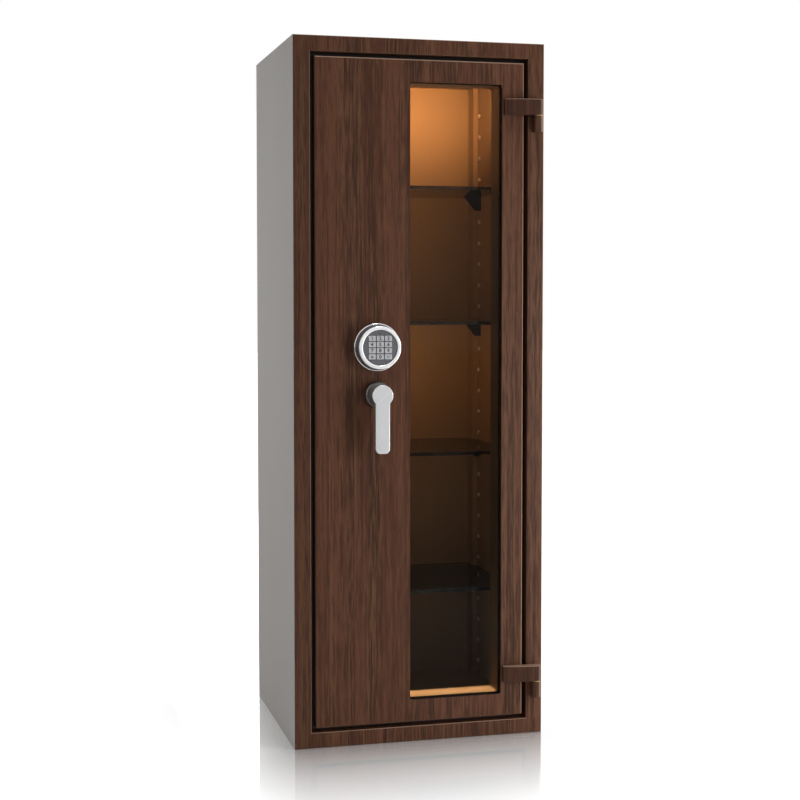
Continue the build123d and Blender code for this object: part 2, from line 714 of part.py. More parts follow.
def pinion():
    profile = Circle(PITCH_RADIUS - TOOTH_DEDENDUM)
    for i in range(PINION_TEETH):
        profile += Rot(0, 0, -90 + (i + 0.5) * 360 / PINION_TEETH) * pinion_tooth()
    profile -= Rectangle(SPINDLE_SQUARE, SPINDLE_SQUARE)
    return extrude(facing_front(LOCK_X, GEAR_FRONT, HANDLE_LEVEL) * profile, -GEAR_WIDTH)


def spindle():
    front = -(HANDLE_REACH - LEVER_THICKNESS)
    shaft = rod(LOCK_X, HANDLE_LEVEL, SPINDLE_RADIUS, (front, GEAR_FRONT))
    half = SPINDLE_SQUARE / 2
    square = (GEAR_FRONT, GEAR_FRONT + GEAR_WIDTH + SPINDLE_TAIL)
    return shaft + block((LOCK_X - half, LOCK_X + half), square, (HANDLE_LEVEL - half, HANDLE_LEVEL + half))


def spindle_bush():
    outer = SPINDLE_RADIUS + SPINDLE_BUSH_WALL
    flange_back = DOOR_SLAB + SPINDLE_FLANGE_THICKNESS
    bush = rod(LOCK_X, HANDLE_LEVEL, outer, (0, flange_back))
    bush += rod(LOCK_X, HANDLE_LEVEL, SPINDLE_FLANGE, (DOOR_SLAB, flange_back))
    return bush - rod(LOCK_X, HANDLE_LEVEL, SPINDLE_RADIUS + RUNNING_GAP, (0, flange_back))


# Electronic lock: its bolt rises behind the rack plate when the bolts are thrown
def lock_bolt_span():
    right = RACK_END - LOCK_BOLT_INSET
    return (right - LOCK_BOLT_WIDTH, right)


def lock_bolt():
    left, right = lock_bolt_span()
    bottom = RACK_BOTTOM - LOCK_CASE_GAP - LOCK_BOLT_LENGTH

    def ramp(x):
        return RACK_BOTTOM + (x - RACK_END + RAMP_RUN) * RAMP_SLOPE - SLIDE_GAP

    outline = Polyline((left, bottom), (right, bottom), (right, ramp(right)), (left, ramp(left)), close=True)
    return extrude(make_face(facing_front(0, LOCK_BOLT_FRONT, 0) * outline), -LOCK_BOLT_DEPTH)


def lock_case():
    left, right = lock_bolt_span()
    middle = (left + right) / 2 - LOCK_CASE_OFFSET
    top = RACK_BOTTOM - LOCK_CASE_GAP
    sides = (middle - LOCK_CASE_WIDTH / 2, middle + LOCK_CASE_WIDTH / 2)
    case = block(sides, (DOOR_SLAB, LOCK_BOLT_BACK + LOCK_CASE_WALL), (top - LOCK_CASE_HEIGHT, top))
    case = fillet(case.edges().filter_by(Axis.Y), LOCK_CASE_ROUND)
    across = (left - LOCK_BOLT_PLAY, right + LOCK_BOLT_PLAY)
    depth = (LOCK_BOLT_FRONT - LOCK_BOLT_PLAY, LOCK_BOLT_BACK + LOCK_BOLT_PLAY)
    return case - block(across, depth, (top - LOCK_BOLT_LENGTH - SLIDE_GAP, top))


# Handle
def lever_handle():
    face = Circle(LEVER_HUB_RADIUS)
    arm_sketch = Pos(0, -LEVER_LENGTH / 2) * Rectangle(LEVER_WIDTH, LEVER_LENGTH)
    arm_sketch = fillet(arm_sketch.vertices().sort_by(Axis.Y)[:2], LEVER_TIP_ROUND)
    start = facing_front(LOCK_X, -HANDLE_REACH, HANDLE_LEVEL)
    lever = extrude(start * (face + arm_sketch), -LEVER_THICKNESS)
    lever = fillet(front_edges(lever), LEVER_EDGE_ROUND)
    neck_front = -(HANDLE_REACH - LEVER_THICKNESS)
    neck_depth = (neck_front, -ROSETTE_HEIGHT - SOFT_GAP)
    lever += rod(LOCK_X, HANDLE_LEVEL, NECK_RADIUS, neck_depth)
    return lever - rod(LOCK_X, HANDLE_LEVEL, SPINDLE_RADIUS, neck_depth)


def rosette():
    disc = rod(LOCK_X, HANDLE_LEVEL, ROSETTE_RADIUS, (-ROSETTE_HEIGHT, 0))
    disc = chamfer(disc.edges().sort_by(Axis.Y)[:1], ROSETTE_CHAMFER)
    return disc - rod(LOCK_X, HANDLE_LEVEL, SPINDLE_RADIUS + SOFT_GAP, (-ROSETTE_HEIGHT, 0))


# Keypad, built up from the door: base ring, housing, board, faceplate and keys, bezel
BODY_FRONT = -KEYPAD_HEIGHT
BOARD_FRONT = BODY_FRONT + BOARD_DEPTH
RIM_BORE = KEYPAD_RIM_RADIUS - KEYPAD_RIM_WALL
FACE_FRONT = BODY_FRONT - FACEPLATE_RISE
FACE_RADIUS = KEYPAD_RIM_RADIUS - BEZEL_WIDTH
KEY_FLANGE_FRONT = BODY_FRONT + FACEPLATE_FLANGE + KEY_GAP


def keypad_base():
    base = rod(LOCK_X, KEYPAD_LEVEL, KEYPAD_BASE_RADIUS, (-KEYPAD_BASE_HEIGHT, 0))
    base = fillet(base.edges().sort_by(Axis.Y)[:1], KEYPAD_BASE_ROUND)
    return base - rod(LOCK_X, KEYPAD_LEVEL, CABLE_HOLE_RADIUS, (-KEYPAD_BASE_HEIGHT, 0))


def keypad_housing():
    back = -KEYPAD_BASE_HEIGHT
    floor = back - KEYPAD_FLOOR
    ledge = BOARD_FRONT + BOARD_THICKNESS
    return turned(
        LOCK_X, KEYPAD_LEVEL,
        (CABLE_HOLE_RADIUS, back), (KEYPAD_BODY_RADIUS, back), (KEYPAD_RIM_RADIUS, BODY_FRONT),
        (RIM_BORE, BODY_FRONT), (RIM_BORE, ledge), (RIM_BORE - BOARD_LEDGE, ledge),
        (RIM_BORE - BOARD_LEDGE, floor), (CABLE_HOLE_RADIUS, floor))


def keypad_bezel():
    bezel = rod(LOCK_X, KEYPAD_LEVEL, KEYPAD_RIM_RADIUS, (BODY_FRONT - BEZEL_HEIGHT, BODY_FRONT))
    bezel -= rod(LOCK_X, KEYPAD_LEVEL, FACE_RADIUS, (BODY_FRONT - BEZEL_HEIGHT, BODY_FRONT))
    return fillet(front_edges(bezel), BEZEL_ROUND)


def key_places():
    """Name, X and Z of each key, row by row from the top left."""
    places = []
    for i, name in enumerate(KEY_NAMES):
        row, column = divmod(i, 3)
        places.append((name, LOCK_X + (column - 1) * KEY_PITCH_X, KEYPAD_LEVEL + (1.5 - row) * KEY_PITCH_Z))
    return places


def centred(x, z, width, height):
    return (x - width / 2, x + width / 2, z - height / 2, z + height / 2)


def keypad_faceplate():
    flange = (BODY_FRONT, BODY_FRONT + FACEPLATE_FLANGE)
    plate = rod(LOCK_X, KEYPAD_LEVEL, RIM_BORE - KEY_GAP, flange)
    plate += rod(LOCK_X, KEYPAD_LEVEL, FACE_RADIUS - RUNNING_GAP, (FACE_FRONT, BODY_FRONT))
    for name, x, z in key_places():
        hole = centred(x, z, KEY_WIDTH + 2 * KEY_GAP, KEY_HEIGHT + 2 * KEY_GAP)
        plate -= panel(hole, (FACE_FRONT, flange[1]))
    return plate


def keypad_board():
    return rod(LOCK_X, KEYPAD_LEVEL, RIM_BORE - KEY_GAP, (BOARD_FRONT, BOARD_FRONT + BOARD_THICKNESS))


def battery_cells():
    depth = -KEYPAD_BASE_HEIGHT - KEYPAD_FLOOR - SOFT_GAP - CELL_RADIUS
    length = (LOCK_X - CELL_LENGTH / 2, LOCK_X + CELL_LENGTH / 2)
    levels = (KEYPAD_LEVEL - CELL_PITCH, KEYPAD_LEVEL + CELL_PITCH)
    return group([crossbar(length, depth, level, CELL_RADIUS) for level in levels])


def key(x, z):
    """Key cap with the flange that holds it behind the faceplate, and its stem."""
    cap = panel(centred(x, z, KEY_WIDTH, KEY_HEIGHT), (FACE_FRONT - KEY_PROUD, KEY_FLANGE_FRONT), KEY_ROUND)
    cap = fillet(front_edges(cap), KEY_EDGE_ROUND)
    flange = centred(x, z, KEY_WIDTH + 2 * KEY_FLANGE, KEY_HEIGHT + 2 * KEY_FLANGE)
    flange_back = KEY_FLANGE_FRONT + KEY_FLANGE_THICKNESS
    cap += panel(flange, (KEY_FLANGE_FRONT, flange_back))
    return cap + rod(x, z, KEY_STEM / 2, (flange_back, BOARD_FRONT - KEY_TRAVEL - SLIDE_GAP / 2))


PIECES = [
    side_panels, top_panel, base_panel, back_panel, wall_filling, lining_sides, lining_ends, lining_back,
    front_frame, rebate_frame, door_seal, glass_shelves, shelf_brackets, cable_duct, lamp_channel,
    lamp_diffuser, lamp_driver, frame_knuckles, hinge_pins, hinge_washers, hinge_arms, door_skin,
    drill_board, door_plate, window_glass, glass_gasket, reveal_frame, door_casing, inner_cover, dog_bar,
    bolt_bushes, locking_bolts, bolt_bar, guide_studs, rack_plate, pinion, spindle, spindle_bush,
    lock_bolt, lock_case, lever_handle, rosette, keypad_base, keypad_housing, keypad_bezel,
    keypad_faceplate, keypad_board, battery_cells,
]

os.makedirs("parts", exist_ok=True)
for piece in PIECES:
    export_step(piece(), f"parts/{piece.__name__}.step")
for name, x, z in key_places():
    export_step(key(x, z), f"parts/key_{name}.step")
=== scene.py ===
"""Looks of a cabinet safe with a glazed door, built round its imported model.

Metres, +Z up, the front faces -Y. The sections follow the safe as it is put together.
"""
import bmesh
import bpy
from math import cos, pi, radians, sin
from mathutils import Matrix, Vector


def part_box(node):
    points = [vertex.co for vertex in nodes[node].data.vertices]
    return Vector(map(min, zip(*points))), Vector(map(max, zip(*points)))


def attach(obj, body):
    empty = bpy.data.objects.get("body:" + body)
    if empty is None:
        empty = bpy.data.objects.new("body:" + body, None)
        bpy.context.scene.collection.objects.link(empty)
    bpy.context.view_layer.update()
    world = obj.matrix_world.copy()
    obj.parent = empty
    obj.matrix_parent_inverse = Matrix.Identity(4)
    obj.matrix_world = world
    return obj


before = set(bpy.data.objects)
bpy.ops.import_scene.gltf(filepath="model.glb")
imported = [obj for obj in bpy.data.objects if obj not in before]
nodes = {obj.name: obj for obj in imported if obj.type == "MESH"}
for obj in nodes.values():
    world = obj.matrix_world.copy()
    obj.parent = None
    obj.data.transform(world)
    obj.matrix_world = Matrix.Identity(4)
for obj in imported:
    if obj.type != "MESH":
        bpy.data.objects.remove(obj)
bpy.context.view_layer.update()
MM = 0.001


# The outer sheets are 3 mm steel, welded round the filling and powder coated in greige. The
# coat is a fine even texture that shows only as a soft sheen in raking light.
class Wire:
    """A socket of a node tree. Arithmetic on it adds Math nodes."""

    def __init__(self, tree, socket):
        self.tree = tree
        self.socket = socket

    def math(self, operation, *others):
        values = dict(enumerate((self, *others)))
        return self.tree.node("ShaderNodeMath", {"operation": operation}, values)

    def __add__(self, other):
        return self.math("ADD", other)

    def __sub__(self, other):
        return self.math("SUBTRACT", other)

    def __mul__(self, other):
        return self.math("MULTIPLY", other)

    def __rsub__(self, other):
        return self.tree.node("ShaderNodeMath", {"operation": "SUBTRACT"}, {0: other, 1: self})

    __radd__ = __add__
    __rmul__ = __mul__


class Finish:
    """The material of one finish: its node tree and the shader that the surface takes."""

    def __init__(self, name, owner=None, **shader):
        self.material = owner or bpy.data.materials.new(name)
        self.material.use_nodes = True
        self.tree = self.material.node_tree
        self.shader = self.tree.nodes.get("Principled BSDF")
        for socket, value in shader.items():
            self.shader.inputs[socket.replace("_", " ")].default_value = value

    def node(self, kind, settings=None, values=None, output=0):
        """Any node: settings first, then its sockets' values or links, by name or place."""
        node = self.tree.nodes.new(kind)
        for setting, value in (settings or {}).items():
            setattr(node, setting, value)
        for socket, value in (values or {}).items():
            self.feed(node.inputs[socket], value)
        return Wire(self, node.outputs[output])

    def feed(self, socket, value):
        if isinstance(value, Wire):
            self.tree.links.new(value.socket, socket)
        else:
            socket.default_value = value

    def set(self, socket, value):
        """Link or set a socket of the surface's shader."""
        self.feed(self.shader.inputs[socket], value)

    def place(self, scale=(1, 1, 1), offset=(0, 0, 0)):
        """Position on the piece in metres, stretched and moved for a pattern."""
        at = self.node("ShaderNodeTexCoord", output="Object")
        values = {"Vector": at, "Location": offset, "Scale": scale}
        return self.node("ShaderNodeMapping", {}, values)

    def noise(self, scale, detail=2, offset=(0, 0, 0), roughness=0.5):
        """Noise from 0 to 1, with features of 1 / scale metres along each axis."""
        values = {"Vector": self.place(scale, offset), "Scale": 1, "Detail": detail,
                  "Roughness": roughness}
        return self.node("ShaderNodeTexNoise", {}, values)

    def vector(self, operation, *values, output=0):
        """Vector arithmetic on sockets or plain vectors."""
        settings = {"operation": operation}
        return self.node("ShaderNodeVectorMath", settings, dict(enumerate(values)), output)

    def part(self, vector, axis):
        """One axis of a vector."""
        return self.node("ShaderNodeSeparateXYZ", {}, {0: vector}, output=axis)

    def between(self, mask, low, high):
        """1 where the mask is over high, 0 under low, and smooth between."""
        settings = {"interpolation_type": "SMOOTHSTEP"}
        values = {"Value": mask, "From Min": low, "From Max": high}
        return self.node("ShaderNodeMapRange", settings, values)

    def blend(self, mask, first, second):
        """Colour from first to second as the mask goes from 0 to 1."""
        ends = {"Factor": mask, 6: first, 7: second}
        return self.node("ShaderNodeMix", {"data_type": "RGBA"}, ends, output=2)

    def tint(self, mask, first, second):
        """Give the surface the colours from first to second."""
        self.set("Base Color", self.blend(mask, colour(*first), colour(*second)))

    def bump(self, height, depth, strength=1.0):
        """Surface relief of the given depth in metres."""
        values = {"Height": height, "Distance": depth, "Strength": strength}
        self.set("Normal", self.node("ShaderNodeBump", {}, values))

    def on(self, *names):
        """Give this finish to nodes of the model."""
        for name in names:
            mesh = nodes[name].data
            mesh.materials.clear()
            mesh.materials.append(self.material)


def colour(red, green, blue):
    return (red, green, blue, 1)


greige = Finish("greige_powder_coat", Roughness=0.75, Specular_IOR_Level=0.06)
cloudy = greige.noise((3, 3, 1.5), 3)
greige.tint(cloudy, (0.285, 0.271, 0.258), (0.315, 0.301, 0.288))
peel = greige.noise((750, 750, 750), 2)
greige.set("Roughness", 0.68 + peel * 0.12)
greige.bump(peel, 0.00012, 0.5)
greige.on("side_panels", "top_panel", "base_panel", "back_panel")


# The front frame, the door skin and the hinges are pressed steel under a walnut film. Its
# straight grain runs upwards on every piece, over rails and stiles alike, under a satin
# lacquer. Its bends are painted paler as a painted highlight, most where they face up and to the
# right.
WALNUT_DEEP = colour(0.040, 0.0155, 0.0076)
WALNUT_PALE = colour(0.116, 0.0500, 0.0258)
WALNUT_RED = colour(0.094, 0.0325, 0.0168)
WALNUT_PORE = colour(0.022, 0.0085, 0.0050)
WALNUT_HIGHLIGHT = colour(0.30, 0.19, 0.13)


def walnut(name, shift, depth=0.0, edge_highlight=1.0):
    """Walnut film from another part of the sheet for each piece. Depth darkens the whole piece as
    painted shade, and the last argument sets how strongly its bends are painted pale as a painted
    highlight.
    """
    film = Finish(name, Roughness=0.42, Specular_IOR_Level=0.14)
    offset = (shift, shift * 0.37, shift * 1.7)
    # Figures from broad to fine: hardly any change upwards, so that they run with the grain.
    band = film.noise((20, 20, 0.35), 2, offset)
    stripe = film.noise((85, 85, 0.9), 2, offset)
    fine = film.noise((270, 270, 3.2), 3, offset, 0.65)
    dash = film.noise((800, 800, 26), 2, offset)
    short = film.noise((250, 250, 19), 2, offset)
    tone = film.between(band * 0.2 + stripe * 0.15 + fine * 0.35 + short * 0.3, 0.42, 0.58)
    wood = film.blend(tone, WALNUT_DEEP, WALNUT_PALE)
    reddish = film.between(film.noise((34, 34, 0.5), 2, offset[::-1]), 0.42, 0.62)
    wood = film.blend(reddish * 0.45, wood, WALNUT_RED)
    pore = film.between(dash, 0.54, 0.70)
    wood = film.blend(pore * 0.6, wood, WALNUT_PORE)
    # Depth darkens the whole piece towards the pore colour: painted shade.
    if depth:
        wood = film.blend(depth, wood, WALNUT_PORE)
    # Bends are painted pale as a painted highlight, most where they face up and to the right.
    facing = film.node("ShaderNodeTexCoord", output="Normal")
    across = film.part(facing, "Y").math("ABSOLUTE")
    right = film.part(facing, "X")
    upper = film.part(facing, "Z")
    lit_side = film.between(right + upper, 0.0, 0.5) * 0.7 + 0.15
    bend = film.between(across, 0.15, 0.5) * film.between(across, 0.95, 0.86)
    film.wood = film.blend(bend * lit_side * edge_highlight, wood, WALNUT_HIGHLIGHT)
    film.set("Base Color", film.wood)
    film.set("Roughness", 0.36 + fine * 0.14 + pore * 0.1)
    film.bump(fine * 0.4 - pore, 0.00006, 0.6)
    return film


# The frame's left stile is painted a little darker: painted shade, as the light falls from the
# right.
STILE_FROM = -200 * MM
STILE_FADE = 36 * MM
STILE_SHADE = 0.24
frame_film = walnut("walnut_frame", 0.0)
sideways = frame_film.part(frame_film.place(), "X")
shaded_stile = frame_film.between(sideways, STILE_FROM, STILE_FROM - STILE_FADE)
stile_shaded = frame_film.blend(shaded_stile * STILE_SHADE, frame_film.wood, WALNUT_PORE)
frame_film.set("Base Color", stile_shaded)
frame_film.on("front_frame")
walnut("walnut_door", 3.1).on("door_skin")

# The film is painted pale along the arms' top edges: a painted highlight.
ARM_HEIGHT = 34 * MM
HIGHLIGHT_BAND = 1.8 * MM
HIGHLIGHT_STRENGTH = 0.7
# The arms are painted darker by depth as painted shade.
hinge_film = walnut("walnut_hinges", 7.7, 0.5, 0.3)
arms_low, arms_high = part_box("hinge_arms")
level = hinge_film.part(hinge_film.place(), "Z")
top_highlight = 0
for top in (arms_low.z + ARM_HEIGHT, arms_high.z):
    above = hinge_film.between(level, top - HIGHLIGHT_BAND, top - HIGHLIGHT_BAND / 2)
    past = hinge_film.between(level, top + HIGHLIGHT_BAND, top + 2 * HIGHLIGHT_BAND)
    top_highlight = above * (1 - past) + top_highlight
hinge_film.set("Base Color", hinge_film.blend(top_highlight * HIGHLIGHT_STRENGTH, hinge_film.wood, WALNUT_HIGHLIGHT))
hinge_film.on("hinge_arms")
# The knuckles are painted a little darker by depth as painted shade.
walnut("walnut_knuckles", 9.3, 0.2, 0.5).on("frame_knuckles")


# The rebate frame is 6 mm flat bar welded into the jamb and painted dark brown. A hollow
# black rubber seal is glued to its front.
brown_paint = Finish("dark_brown_paint", Specular_IOR_Level=0.3)
mottle = brown_paint.noise((60, 60, 60), 3)
brown_paint.tint(mottle, (0.024, 0.017, 0.013), (0.036, 0.026, 0.021))
brown_paint.set("Roughness", 0.42 + mottle * 0.2)
brown_paint.bump(brown_paint.noise((600, 600, 600)), 0.0001, 0.4)
brown_paint.on("rebate_frame")


def rubber(name, low, high):
    """Moulded rubber with a faint bloom."""
    compound = Finish(name, Specular_IOR_Level=0.25)
    bloom = compound.noise((90, 90, 40), 3)
    compound.tint(bloom, low, high)
    compound.set("Roughness", 0.6 + bloom * 0.25)
    compound.bump(compound.noise((500, 500, 500), 2), 0.00008, 0.4)
    return compound


rubber("black_rubber", (0.008, 0.008, 0.008), (0.017, 0.017, 0.016)).on("door_seal")


# The walls are cast full of mineral filling, and the door holds a board of the same stuff.
# It is pale grey, with grains of stone in it.
filling = Finish("mineral_filling", Roughness=0.9, Specular_IOR_Level=0.2)
grain = filling.noise((260, 260, 260), 3)
stone = filling.between(grain, 0.45, 0.7)
filling.tint(stone, (0.40, 0.39, 0.365), (0.26, 0.25, 0.235))
filling.bump(grain, 0.0006)
filling.on("wall_filling", "drill_board")


# The lining is 1.5 mm sheet in a tan gold satin lacquer, as is the cable duct in the back
# corner. The reveal round the window is painted a darker olive gold as painted shade, and
# paler on its sill, lintel and level faces as painted light.
lacquer = Finish("tan_gold_lacquer", Specular_IOR_Level=0.25)
sheen = lacquer.noise((7, 7, 4), 3)
flake = lacquer.noise((1500, 1500, 1500), 1)
gold = lacquer.blend(sheen, colour(0.235, 0.145, 0.070), colour(0.285, 0.178, 0.088))
# Pale flecks in the colour are painted glints.
painted_glints = lacquer.between(flake, 0.58, 0.7) * 0.3
lacquer.set("Base Color", lacquer.blend(painted_glints, gold, colour(0.42, 0.29, 0.16)))
lacquer.set("Roughness", 0.38 + sheen * 0.1 + flake * 0.08)
lacquer.bump(flake, 0.00005, 0.4)
lacquer.on("lining_sides", "lining_ends", "lining_back", "cable_duct")

reveal_coat = Finish("gold_lacquer_painted_shade_and_light", Roughness=0.45, Specular_IOR_Level=0.25)
clouds = reveal_coat.noise((9, 9, 5), 3)
# The reveal is painted darker than the lining: painted shade.
shaded_gold = reveal_coat.blend(clouds, colour(0.155, 0.100, 0.046), colour(0.195, 0.125, 0.058))
reveal_low, reveal_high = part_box("reveal_frame")
# The sill, the lintel and all level faces are painted paler: painted light.
SILL_TOP = reveal_low.z + 22 * MM
upward = reveal_coat.part(reveal_coat.place(), "Z")
lit_sill = reveal_coat.between(upward, SILL_TOP, SILL_TOP - 2 * MM)
facing = reveal_coat.node("ShaderNodeTexCoord", output="Normal")
level_face = reveal_coat.part(facing, "Z").math("ABSOLUTE")
painted_light_part = lit_sill.math("MAXIMUM", reveal_coat.between(level_face, 0.5, 0.8))
reveal_coat.set("Base Color", reveal_coat.blend(painted_light_part, shaded_gold, colour(0.46, 0.30, 0.165)))
reveal_coat.bump(reveal_coat.noise((1500, 1500, 1500), 1), 0.00005, 0.4)
reveal_coat.on("reveal_frame")


# Domed studs are riveted up both side walls, in a front and a back line, every 50 mm. They
# are what the shelf brackets hook over, so a shelf can be set at any of them.
def lathe(profile, segments, hexagons=()):
    """Closed turned body along +Z from (radius, height) pairs, six-sided at the hexagons."""
    body = bmesh.new()
    rows = []
    for i, (radius, height) in enumerate(profile):
        row = []
        for j in range(segments):
            angle = 2 * pi * j / segments
            reach = radius
            if i in hexagons:
                reach = radius / cos((angle + pi / 6) % (pi / 3) - pi / 6)
            row.append(body.verts.new((reach * cos(angle), reach * sin(angle), height)))
        rows.append(row)
    for lower, upper in zip(rows, rows[1:]):
        for j in range(segments):
            k = (j + 1) % segments
            body.faces.new((lower[j], lower[k], upper[k], upper[j]))
    body.faces.new(reversed(rows[0]))
    body.faces.new(rows[-1])
    bmesh.ops.recalc_face_normals(body, faces=body.faces)
    return body


def as_object(name, body, turn=None, move=None):
    """Object at the origin whose mesh is turned and moved to its place."""
    mesh = bpy.data.meshes.new(name)
    body.to_mesh(mesh)
    body.free()
    mesh.transform(Matrix.Translation(move or (0, 0, 0)) @ (turn or Matrix()))
    piece = bpy.data.objects.new(name, mesh)
    bpy.context.scene.collection.objects.link(piece)
    return piece


def fastener_rows():
    """Node tree that sets one fastener on every point of a grid of rows and columns."""
    tree = bpy.data.node_groups.new("fastener_rows", "GeometryNodeTree")
    kinds = {"Fastener": "Object", "Finish": "Material", "Start": "Vector",
             "Column Step": "Vector", "Columns": "Int", "Row Step": "Vector", "Rows": "Int"}
    sockets = tree.interface
    inputs = {}
    for name, kind in kinds.items():
        socket = sockets.new_socket(name, in_out="INPUT", socket_type=f"NodeSocket{kind}")
        inputs[name] = socket.identifier
    sockets.new_socket("Geometry", in_out="OUTPUT", socket_type="NodeSocketGeometry")

    def add(kind, settings=None, **links):
        node = tree.nodes.new(kind)
        for setting, value in (settings or {}).items():
            setattr(node, setting, value)
        for socket, source in links.items():
            tree.links.new(source, node.inputs[socket.replace("_", " ")])
        return node.outputs[0]

    given = tree.nodes.new("NodeGroupInput").outputs
    by_offset = {"mode": "OFFSET"}
    columns = add("GeometryNodeMeshLine", by_offset, Count=given["Columns"],
                  Start_Location=given["Start"], Offset=given["Column Step"])
    rows = add("GeometryNodeMeshLine", by_offset, Count=given["Rows"], Offset=given["Row Step"])
    grid = add("GeometryNodeInstanceOnPoints", Points=columns, Instance=rows)
    points = add("GeometryNodeRealizeInstances", Geometry=grid)
    source = tree.nodes.new("GeometryNodeObjectInfo")
    tree.links.new(given["Fastener"], source.inputs["Object"])
    shape = source.outputs["Geometry"]
    fasteners = add("GeometryNodeInstanceOnPoints", Points=points, Instance=shape)
    real = add("GeometryNodeRealizeInstances", Geometry=fasteners)
    smooth = add("GeometryNodeSetShadeSmooth", Geometry=real)
    finished = add("GeometryNodeSetMaterial", Geometry=smooth, Material=given["Finish"])
    tree.links.new(finished, tree.nodes.new("NodeGroupOutput").inputs[0])
    return tree, inputs


rows_tree, rows_inputs = fastener_rows()


def rows_of(name, fastener, finish, start, column_step, columns, row_step, rows):
    """One plain mesh of the fastener repeated in columns and rows."""
    host = bpy.data.objects.new(name, bpy.data.meshes.new(name))
    bpy.context.scene.collection.objects.link(host)
    modifier = host.modifiers.new("rows", "NODES")
    modifier.node_group = rows_tree
    values = {"Fastener": fastener, "Finish": finish.material, "Start": start,
              "Column Step": column_step, "Columns": columns, "Row Step": row_step, "Rows": rows}
    for input_name, value in values.items():
        modifier[rows_inputs[input_name]] = value
    graph = bpy.context.evaluated_depsgraph_get()
    made = bpy.data.meshes.new_from_object(host.evaluated_get(graph))
    host.modifiers.clear()
    host.data = made
    return host


STUD_RADIUS = 5 * MM
STUD_HEIGHT = 5.5 * MM
STUD_NECK = 1.8 * MM
STUD_PITCH = 50 * MM
STUD_ROWS = 27
STUD_LOWEST = 81 * MM
stud_profile = [(STUD_RADIUS * 0.6, 0), (STUD_RADIUS * 0.6, STUD_NECK)]
for angle in (0, 0.3, 0.6, 0.9, 1.2, 1.5):
    rise = (STUD_HEIGHT - STUD_NECK) * sin(angle)
    stud_profile.append((STUD_RADIUS * cos(angle), STUD_NECK + rise))
stud_coat = Finish("stud_lacquer", Roughness=0.35, Specular_IOR_Level=0.5)
speckle = stud_coat.noise((900, 900, 900), 2)
stud_coat.tint(speckle, (0.50, 0.37, 0.23), (0.60, 0.46, 0.30))
lining_low, lining_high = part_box("lining_back")
sheet = lining_high.y - lining_low.y
bracket_low, bracket_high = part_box("shelf_brackets")
BRACKET_FOOT = 14 * MM
front_line = bracket_low.y + BRACKET_FOOT / 2
back_line = bracket_high.y - BRACKET_FOOT / 2
walls = (("left", lining_low.x + sheet, 90), ("right", lining_high.x - sheet, -90))
for side, wall, quarter in walls:
    turn = Matrix.Rotation(radians(quarter), 4, "Y")
    stud = as_object("stud", lathe(stud_profile, 20), turn)
    studs = rows_of(f"wall_studs_{side}", stud, stud_coat, (wall, front_line, STUD_LOWEST),
                    (0, back_line - front_line, 0), 2, (0, 0, STUD_PITCH), STUD_ROWS)
    bpy.data.objects.remove(stud)
    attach(studs, "safe_body")


# The shelves are 8 mm tempered glass, smoked, with ground and polished edges. They rest on
# black powder-coated brackets.
SMOKE_ALPHA = 0.44
smoked = Finish("smoked_glass", Base_Color=colour(0.008, 0.012, 0.010), Roughness=0.04,
                Specular_IOR_Level=0.3)
edge = smoked.node("ShaderNodeLayerWeight", {}, {"Blend": 0.35}, output="Facing")
smoked.set("Alpha", SMOKE_ALPHA + edge * 0.5)
smoked.on("glass_shelves")

black_coat = Finish("black_powder_coat", Specular_IOR_Level=0.3)
crinkle = black_coat.noise((900, 900, 900), 2)
black_coat.tint(crinkle, (0.010, 0.010, 0.010), (0.020, 0.020, 0.019))
black_coat.set("Roughness", 0.45 + crinkle * 0.2)
black_coat.bump(crinkle, 0.00015, 0.5)
black_coat.on("shelf_brackets", "inner_cover", "door_casing")


# The lamp is a strip of warm diodes in an alloy channel across the ceiling, under a frosted
# strip. Its driver is a white plastic box in the back corner.
alloy = Finish("anodised_channel", Metallic=1.0, Roughness=0.35)
drawn = alloy.noise((2, 900, 900), 2)
alloy.tint(drawn, (0.56, 0.56, 0.56), (0.68, 0.68, 0.68))
alloy.bump(drawn, 0.00003, 0.4)
alloy.on("lamp_channel")

frosted = Finish("lit_diffuser", Base_Color=colour(0.95, 0.8, 0.58), Roughness=0.5)
DIODE_PITCH = 16 * MM
DIFFUSER_GLOW = 2.0
along = frosted.part(frosted.place(), "X") * (2 * pi / DIODE_PITCH)
diodes = along.math("COSINE") * 0.5 + 0.5
warm = frosted.blend(diodes, colour(1.0, 0.60, 0.30), colour(1.0, 0.74, 0.46))
frosted.set("Emission Color", warm)
frosted.set("Emission Strength", DIFFUSER_GLOW)
frosted.on("lamp_diffuser")

white_plastic = Finish("white_plastic", Roughness=0.5)
fine = white_plastic.noise((400, 400, 400), 2)
white_plastic.tint(fine, (0.70, 0.69, 0.67), (0.78, 0.77, 0.75))
white_plastic.bump(fine, 0.00005, 0.3)
white_plastic.on("lamp_driver")


# The strip's light passes down through the glass shelves. Small lamps stand for it: one faces
# the back wall of each compartment, and one shines down on the window sill.
def area_light(name, place, size, watts):
    """Rectangular lamp that the camera doesn't see, facing down."""
    data = bpy.data.lights.new(name, "AREA")
    data.shape = "RECTANGLE"
    data.size, data.size_y = size
    data.energy = watts
    lamp = bpy.data.objects.new(name, data)
    lamp.location = place
    lamp.visible_camera = False
    bpy.context.scene.collection.objects.link(lamp)
    return lamp


def warm_lamp(name, place, size, tilt, watts, tint=(1.0, 0.56, 0.26), spread=pi):
    """Strip of warm light, tilted from straight down towards the back wall."""
    lamp = area_light(name, place, size, watts)
    lamp.data.color = tint
    lamp.data.spread = spread
    lamp.rotation_euler = (tilt, 0, 0)
    lamp.visible_glossy = False


